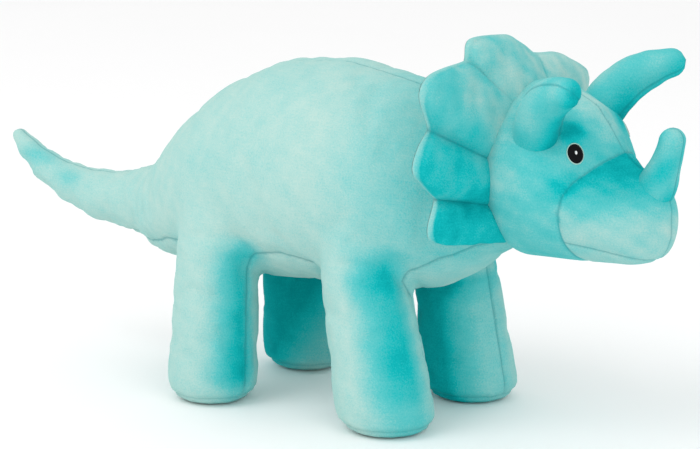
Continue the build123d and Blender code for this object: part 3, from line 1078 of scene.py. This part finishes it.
horn(
    "nose_horn",
    [
        (NOSE[0] - 6, 0, NOSE[2] - 14, 15.5),
        (NOSE[0] + 2, 0, NOSE[2] - 2, 14.6),
        (NOSE[0] + 6.5, 0, NOSE[2] + 9, 12.4),
        (NOSE[0] + 10.5, 0, NOSE[2] + 20, 10.5),
        (NOSE[0] + 13, 0, NOSE[2] + 31, 9.9),
        (NOSE[0] + 13.5, 0, NOSE[2] + 40.5, 9.3),
    ],
    (1.0, 0.0, 0.0),
    ["nose_horn_left_skin", "nose_horn_right_skin"],
    ["nose_horn_left_panel", "nose_horn_right_panel", "nose_horn_stuffing"],
    nose_nap,
)


# ---- the frill
FRILL_BACK = node_box("frill_front_panel", "frill_back_panel")[1][0]
HUB_Z = HEAD_LO[2] + 0.5 * (HEAD_HI[2] - HEAD_LO[2])
# Outward, up from the hub, back. The rows are even along the edge, numbered -3.5 to 3.5 from the near
# lower corner to the far one; the lobes are sewn off at the halves.
NEAR_EDGE = [
    (91, -44.3, 28.4), (99, -40.3, 29.4), (102, -33.3, 29.4), (98, -23.3, 29.4),
    (93, -13.3, 30.4), (111, 1.7, 31.4), (118.5, 11.7, 31.4), (113, 24.7, 32.4),
    (95.5, 37.2, 33.4), (106, 61.7, 34.4), (97, 75.7, 34.4), (75, 79.2, 34.4),
    (48, 79.7, 34.4), (40, 94.0, 35.4),
]
FAR_EDGE = [
    (1, 92.5, 34.4), (22.4, 86.2, 34.4), (44, 75.7, 32.4), (65, 71.8, 29.4),
    (85, 63.6, 25.4), (105.5, 52.8, 22.4), (109, 38.0, 22.4), (116, 27.0, 24.0),
    (120, 12.0, 27.0), (113, 1.0, 28.0), (97, -13.0, 28.0), (102, -22.0, 28.0),
    (104, -32.0, 28.0), (101, -39.0, 28.0), (92, -44.0, 28.0),
]
FRILL_EDGE = [(-out, up, behind) for out, up, behind in NEAR_EDGE] + FAR_EDGE
HALF_ROOT = [
    (0, 50.0, 6), (24, 45.0, 7), (40, 30.0, 8), (50, 10.0, 9),
    (52, -5.0, 9), (49, -22.0, 9), (43, -38.0, 9), (32, -53.0, 9),
]
FRILL_ROOT = [(-out, up, behind) for out, up, behind in HALF_ROOT[:0:-1]] + HALF_ROOT
LOBES = 7
FRILL_HALF = 8.0     # how far a full lobe stands out in front of its middle
PER_LOBE = 28
RADIAL = 30


def frill_grid():
    """Middle surface of the fan, the lobe numbers, the share of the way out, and the distances to its sewn
    lines and its edge.
    """
    number = np.linspace(-LOBES / 2, LOBES / 2, LOBES * PER_LOBE + 1)
    t = np.linspace(0, 1, RADIAL) ** 0.85

    def along(rows):
        values = np.array(rows, float)
        knots = np.linspace(-LOBES / 2, LOBES / 2, len(values))
        found = np.zeros((len(number), 3))
        for lobe in range(LOBES):
            mine = np.abs(number - (lobe - 3)) <= 0.5 + 1e-9
            inside = np.abs(knots - (lobe - 3)) <= 0.5 + 1e-9
            fine = spline(values[inside], 81)
            at = np.interp(number[mine], knots[inside], np.linspace(0, 80, inside.sum()))
            found[mine] = np.stack([np.interp(at, np.arange(81), fine[:, i]) for i in range(3)], 1)
        return found

    root, edge = along(FRILL_ROOT), along(FRILL_EDGE)
    ripple = noise(np.stack([number * 40, 0 * number, 0 * number], 1), 12.0, 57)
    edge[:, :2] *= (1 + 0.009 * ripple)[:, None]
    flat = root[:, None] * (1 - t)[None, :, None] + edge[:, None] * t[None, :, None]
    middle = np.stack([FRILL_BACK - flat[..., 2], flat[..., 0], HUB_Z + flat[..., 1]], -1)
    u = (number[:, None] + 0.5) % 1.0
    width = np.linalg.norm(np.diff(middle, axis=0), axis=-1).mean(0) * PER_LOBE
    from_side = np.minimum(u, 1 - u) * width[None, :]
    span = np.linalg.norm(middle[:, -1] - middle[:, 0], axis=-1)[:, None]
    from_edge = (1 - t)[None, :] * span
    return middle, number, t, from_side, from_edge


def frill():
    """The frill's front and back skins, quilted into lobes, and the batting between them."""
    middle, number, t, from_side, from_edge = frill_grid()
    du = np.gradient(middle, axis=0)
    dt = np.gradient(middle, axis=1)
    face = unit(np.cross(du, dt))
    if face[..., 0].mean() < 0:
        face = -face
    top_seam = np.exp(-(((np.abs(number) - 0.5) / 0.3) ** 4))[:, None]
    round_side = 1 - (0.94 - 0.5 * top_seam) * np.exp(-from_side / 8.0)
    round_edge = np.sqrt(1 - np.clip(1 - from_edge / 20.0, 0, 1) ** 2.2)
    half = FRILL_HALF * round_side**0.75 * round_edge
    half -= 0.7 * np.exp(-(((from_edge - 4.0) / 1.4) ** 2))
    outermost = np.abs(number)[:, None] > 3.45
    half = np.where(outermost, half * 0.3, np.maximum(half, 1.4 * np.clip(from_edge / 5, 0, 1)))
    half = np.maximum(half, 0.35)
    flat = middle.reshape(-1, 3)
    lumps = (0.5 * noise(flat, 17, 51)).reshape(half.shape) * round_edge * round_side
    near = np.exp(-(((np.minimum(from_side, from_edge) - 4) / 4) ** 2))
    gathers = 0.5 * noise(flat, 9, 52).reshape(half.shape) * near
    sway = (2.2 * noise(flat, 90, 53)).reshape(half.shape) * (from_edge.max() - from_edge) / from_edge.max()
    rows, columns = half.shape
    index = np.arange(rows * columns).reshape(rows, columns)
    quads = np.stack([index[:-1, :-1], index[1:, :-1], index[1:, 1:], index[:-1, 1:]], -1).reshape(-1, 4)
    quilted = np.where(np.abs(number)[:, None] < 3.2, from_side, 99)
    seam = (1 - 0.75 * top_seam) * np.exp(-((quilted / 0.8) ** 2))
    seam = seam + 0.2 * np.exp(-(((from_edge - 4.0) / 0.7) ** 2))
    lobe = np.broadcast_to(number[:, None], half.shape)
    depth = [0.28, 0.34, 0.55, 0.70, 0.77, 0.84, 0.86, 0.84]
    nap_and_painted_light = np.interp(np.abs(lobe), [0, 0.5, 0.9, 1.5, 2, 2.5, 3, 3.5], depth)
    nap_and_painted_light = np.where(lobe > 0.5, 0.22, nap_and_painted_light)
    nap_and_painted_light -= 0.28 * np.exp(-(((lobe + 1.0) / 0.28) ** 2)) * (1 - t[None, :]) ** 0.7
    nap_and_painted_light += 0.10 * noise(flat, 34, 54).reshape(half.shape) + 0.07 * noise(flat, 14, 55).reshape(half.shape)
    # A pale band along the frill's edge: painted sheen, the pile seen edge-on.
    rim = np.exp(-((from_edge / (2.6 + 0.6 * noise(flat, 22, 56).reshape(half.shape))) ** 4))
    nap_and_painted_light = nap_and_painted_light * (1 - rim) + 0.26 * rim
    for which, way in (("front", 1), ("back", -1)):
        proud = (half if way > 0 else 0.5 * half) + lumps + gathers * way
        points = (middle + face * (way * proud + sway)[..., None]).reshape(-1, 3)
        faces = [list(map(int, q)) for q in (quads if way > 0 else quads[:, ::-1])]
        faces, normals = facing(points, faces, face.reshape(-1, 3) * way)
        values = np.clip(nap_and_painted_light if way > 0 else nap_and_painted_light - 0.25, 0, 1).reshape(-1)
        marks = {"nap_and_painted_light": values, "seam": np.clip(seam, 0, 1).reshape(-1)}
        thickness = np.minimum(FABRIC, half * 0.45).reshape(-1)
        obj = shell(f"frill_{which}_skin", points, faces, normals, marks, thickness)
        finish_piece(obj, VELOUR, "turquoise_velour", [f"frill_{which}_panel"])
        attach(obj, "head")
    batting(middle, face, half, sway)


def batting(middle, face, half, sway):
    """One pad of batting in each sewn lobe, in one piece."""
    points, faces = [], []
    for lobe in range(LOBES):
        start, stop = lobe * PER_LOBE, (lobe + 1) * PER_LOBE
        rows = list(range(start + 2, stop - 1, 2))
        columns = list(range(1, middle.shape[1] - 3, 2))
        base = len(points)
        sheets = []
        for way in (1, -1):
            thick = np.maximum((half if way > 0 else 0.5 * half) - BATTING_DEPTH, 0.25)
            p = middle + face * (way * thick + sway)[..., None]
            sheets.append(base + len(rows) * len(columns) * (0 if way > 0 else 1))
            points += [p[i, j] for i in rows for j in columns]
        r, c = len(rows), len(columns)
        for n, first in enumerate(sheets):
            for i in range(r - 1):
                for j in range(c - 1):
                    a = first + i * c + j
                    quad = [a, a + c, a + c + 1, a + 1]
                    faces.append(quad if n == 0 else quad[::-1])
        ring = [j for j in range(c)] + [i * c + c - 1 for i in range(1, r)]
        ring += [(r - 1) * c + j for j in range(c - 2, -1, -1)] + [i * c for i in range(r - 2, 0, -1)]
        for a, b in zip(ring, ring[1:] + ring[:1]):
            faces.append([sheets[0] + a, sheets[0] + b, sheets[1] + b, sheets[1] + a])
    obj = add_object("frill_batting_fill", np.array(points), faces)
    turn_outward(obj)
    finish_piece(obj, FIBRE, "polyester_fibre", ["frill_batting"])
    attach(obj, "head")


frill()


# ---- the eyes
def on_head(points, direction, lift):
    """Slides points along a direction onto the head, then lifts them off it."""
    p = points.copy()
    for _ in range(8):
        g = gradient(head_field, p)
        p -= direction * (head_field(*p.T) / np.maximum(g @ direction, 0.3))[:, None]
    return p + unit(gradient(head_field, p)) * lift[:, None]


def embroidered(name, centre, normal, half_width, half_height, proud, material, slot, replaced, hole, shift):
    """An oval of satin stitch, or a ring of it, lying on the head with rounded edges."""
    across = np.cross([0, 0, 1.0], normal)
    across /= np.linalg.norm(across)
    upward = np.cross(normal, across)
    rings, around = (10, 64)
    radius = np.linspace(hole, 1, rings)
    angle = np.linspace(0, 2 * math.pi, around, endpoint=False)
    flat = np.array([
        centre
        + across * (half_width * r * math.cos(a))
        + upward * (shift + half_height * r * math.sin(a))
        for r in radius
        for a in angle
    ])
    s = (np.repeat(radius, around) - hole) / (1 - hole)
    profile = np.sqrt(np.clip(1 - (2 * s - 1) ** 2, 0, 1)) if hole else np.sqrt(np.clip(1 - s**6, 0, 1))
    ribs = 0.06 * np.sin(flat @ upward * 2 * math.pi / 0.9)
    top = on_head(flat, normal, 0.25 + (proud + ribs) * profile)
    under = on_head(flat, normal, -0.8 + 0 * profile)
    count = rings * around
    faces = []
    for i in range(rings - 1):
        for j in range(around):
            k = (j + 1) % around
            quad = [i * around + j, (i + 1) * around + j, (i + 1) * around + k, i * around + k]
            faces.append(quad)
            faces.append([q + count for q in quad[::-1]])
    for j in range(around):
        k = (j + 1) % around
        last = (rings - 1) * around
        faces.append([last + j, last + j + count, last + k + count, last + k])
        if hole:
            faces.append([j, k, k + count, j + count])
    if not hole:
        faces.append(list(range(around)))
        faces.append([q + count for q in reversed(range(around))])
    obj = add_object(name, np.vstack([top, under]), faces)
    turn_outward(obj)
    finish_piece(obj, material, slot, replaced)
    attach(obj, "head")


FAR_EYE_BACK = 11.5     # the far eye sits further back, which hides it from the photograph's side
PALE_THREAD = satin("pale_outline_thread", (0.30, 0.55, 0.50), (0.45, 0.68, 0.62))
for label in ("left", "right"):
    lowest, highest = node_box(f"{label}_eye_patch")
    guess = (lowest + highest) / 2 - np.array([FAR_EYE_BACK if label == "left" else 0.0, 0, 0])
    g = gradient(head_field, guess[None])[0]
    normal = g / np.linalg.norm(g)
    centre = on_head(guess[None], normal, np.zeros(1))[0]
    for part, width, height, proud, material, slot, replaced, hole, shift in (
        ("oval", 6.2, 7.1, 0.9, BLACK, "black_embroidery", [f"{label}_eye_patch"], 0.0, 0.0),
        ("outline", 6.95, 7.85, 0.5, PALE_THREAD, "turquoise_velour", [], 0.89, 0.0),
        ("glint", 0.9, 1.5, 1.7, WHITE, "white_embroidery", [f"{label}_eye_highlight"], 0.0, 0.6),
    ):
        name = f"{label}_eye_{part}"
        embroidered(name, centre, normal, width, height, proud, material, slot, replaced, hole, shift)


# ---- the filling
def inside_body(*walls):
    """The body's filling, on the kept side of some walls."""

    def field(x, y, z):
        d = body_field(x, y, z) + BODY_FILL_DEPTH
        for wall in walls:
            d = meet(d, wall(x, y, z) + 0 * d, 5.0)
        return d

    return field


def add_fill(name, field, lo, hi, replaced, step=5.0):
    obj = filling(name, field, lo, hi, step)
    finish_piece(obj, FIBRE, "polyester_fibre", [replaced])
    bend(obj, name)


add_fill(
    "torso_fill",
    inside_body(
        lambda x, y, z: LEG_CUT + GAP - z,
        lambda x, y, z: TAIL_CUT + GAP - x,
        lambda x, y, z: x - (NECK_CUT - GAP),
    ),
    (TAIL_CUT - 8, -92, LEG_CUT - 8),
    (NECK_CUT + 8, 92, TORSO_HI[2] + 8),
    "torso_stuffing",
    6.0,
)
add_fill(
    "tail_base_fill",
    inside_body(lambda x, y, z: x - (TAIL_CUT - GAP), lambda x, y, z: TIP_CUT + GAP - x),
    (TIP_CUT - 6, -50, 80),
    (TAIL_CUT + 6, 50, 185),
    "tail_base_stuffing",
    4.0,
)
add_fill(
    "tail_tip_fill",
    inside_body(lambda x, y, z: x - (TIP_CUT - GAP)),
    (TAIL_LO[0] - 6, -30, 90),
    (TIP_CUT + 6, 30, 190),
    "tail_tip_stuffing",
    3.0,
)
for (end, label), foot in SOLES.items():
    add_fill(
        f"{end}_{label}_leg_fill",
        inside_body(lambda x, y, z: z - (LEG_CUT - GAP)),
        (foot[0] - 50, foot[1] - 48, -4),
        (foot[0] + 46, foot[1] + 48, LEG_CUT + 6),
        f"{end}_{label}_leg_stuffing",
    )


def neck_fill(x, y, z):
    ball = neck_field(x, y, z) + 4
    return meet(ball, NECK_CUT + GAP - x + 0 * ball, 4.0)


def head_fill(x, y, z):
    return meet(head_field(x, y, z) + HEAD_FILL_DEPTH, 3 - neck_field(x, y, z), 4.0)


add_fill("neck_fill", neck_fill, NECK - 52, NECK + 52, "neck_stuffing", 4.0)
add_fill("head_fill", head_fill, *HEAD_ROOM, "head_stuffing", 4.0)


# ---- floor, light and camera
def stage_floor():
    bpy.ops.mesh.primitive_plane_add(size=30)
    floor = bpy.context.object
    floor.name = "studio_floor"
    look = Look("pale_floor", Roughness=0.9)
    look.colour(look.mix(look.noise(3.0), (0.95, 0.95, 0.95), (0.97, 0.97, 0.97)))
    floor.data.materials.append(look.material)


def area_light(name, place, target, size, power, colour=(1, 1, 1)):
    data = bpy.data.lights.new(name, "AREA")
    data.size, data.energy, data.color = size, power, colour
    light = bpy.data.objects.new(name, data)
    light.location = place
    light.rotation_mode = "QUATERNION"
    light.rotation_quaternion = (Vector(target) - Vector(place)).to_track_quat("-Z", "Y")
    bpy.context.collection.objects.link(light)


def camera(azimuth=math.radians(33.9), elevation=math.radians(12.7), distance=2.3):
    """The photograph's camera, fitted to the outline."""
    level = math.cos(elevation)
    back = Vector((math.sin(azimuth) * level, -math.cos(azimuth) * level, math.sin(elevation)))
    right = Vector((math.cos(azimuth), math.sin(azimuth), 0))
    up = back.cross(right)
    target = Vector(((cad_box[0][0] + cad_box[1][0]) / 2 + 0.018, 0, 0.150)) + right * 0.0055 - up * 0.0143
    data = bpy.data.cameras.new("camera")
    data.lens = 155.6
    cam = bpy.data.objects.new("camera", data)
    cam.location = target + back * distance
    cam.rotation_mode = "QUATERNION"
    cam.rotation_quaternion = (-back).to_track_quat("-Z", "Y")
    data.clip_start, data.clip_end = 0.05, 50
    bpy.context.collection.objects.link(cam)
    bpy.context.scene.camera = cam


stage_floor()
world = bpy.data.worlds.new("studio")
world.use_nodes = True
background = world.node_tree.nodes["Background"]
background.inputs["Color"].default_value = (1.0, 1.0, 1.0, 1)
background.inputs["Strength"].default_value = 0.93
bpy.context.scene.world = world
bpy.context.scene.view_settings.view_transform = "Standard"
area_light("key", (-0.9, -1.6, 2.2), (0, 0, 0.15), 1.6, 19)
area_light("fill", (1.8, -1.4, 1.2), (0.05, 0, 0.15), 1.4, 8)
camera()
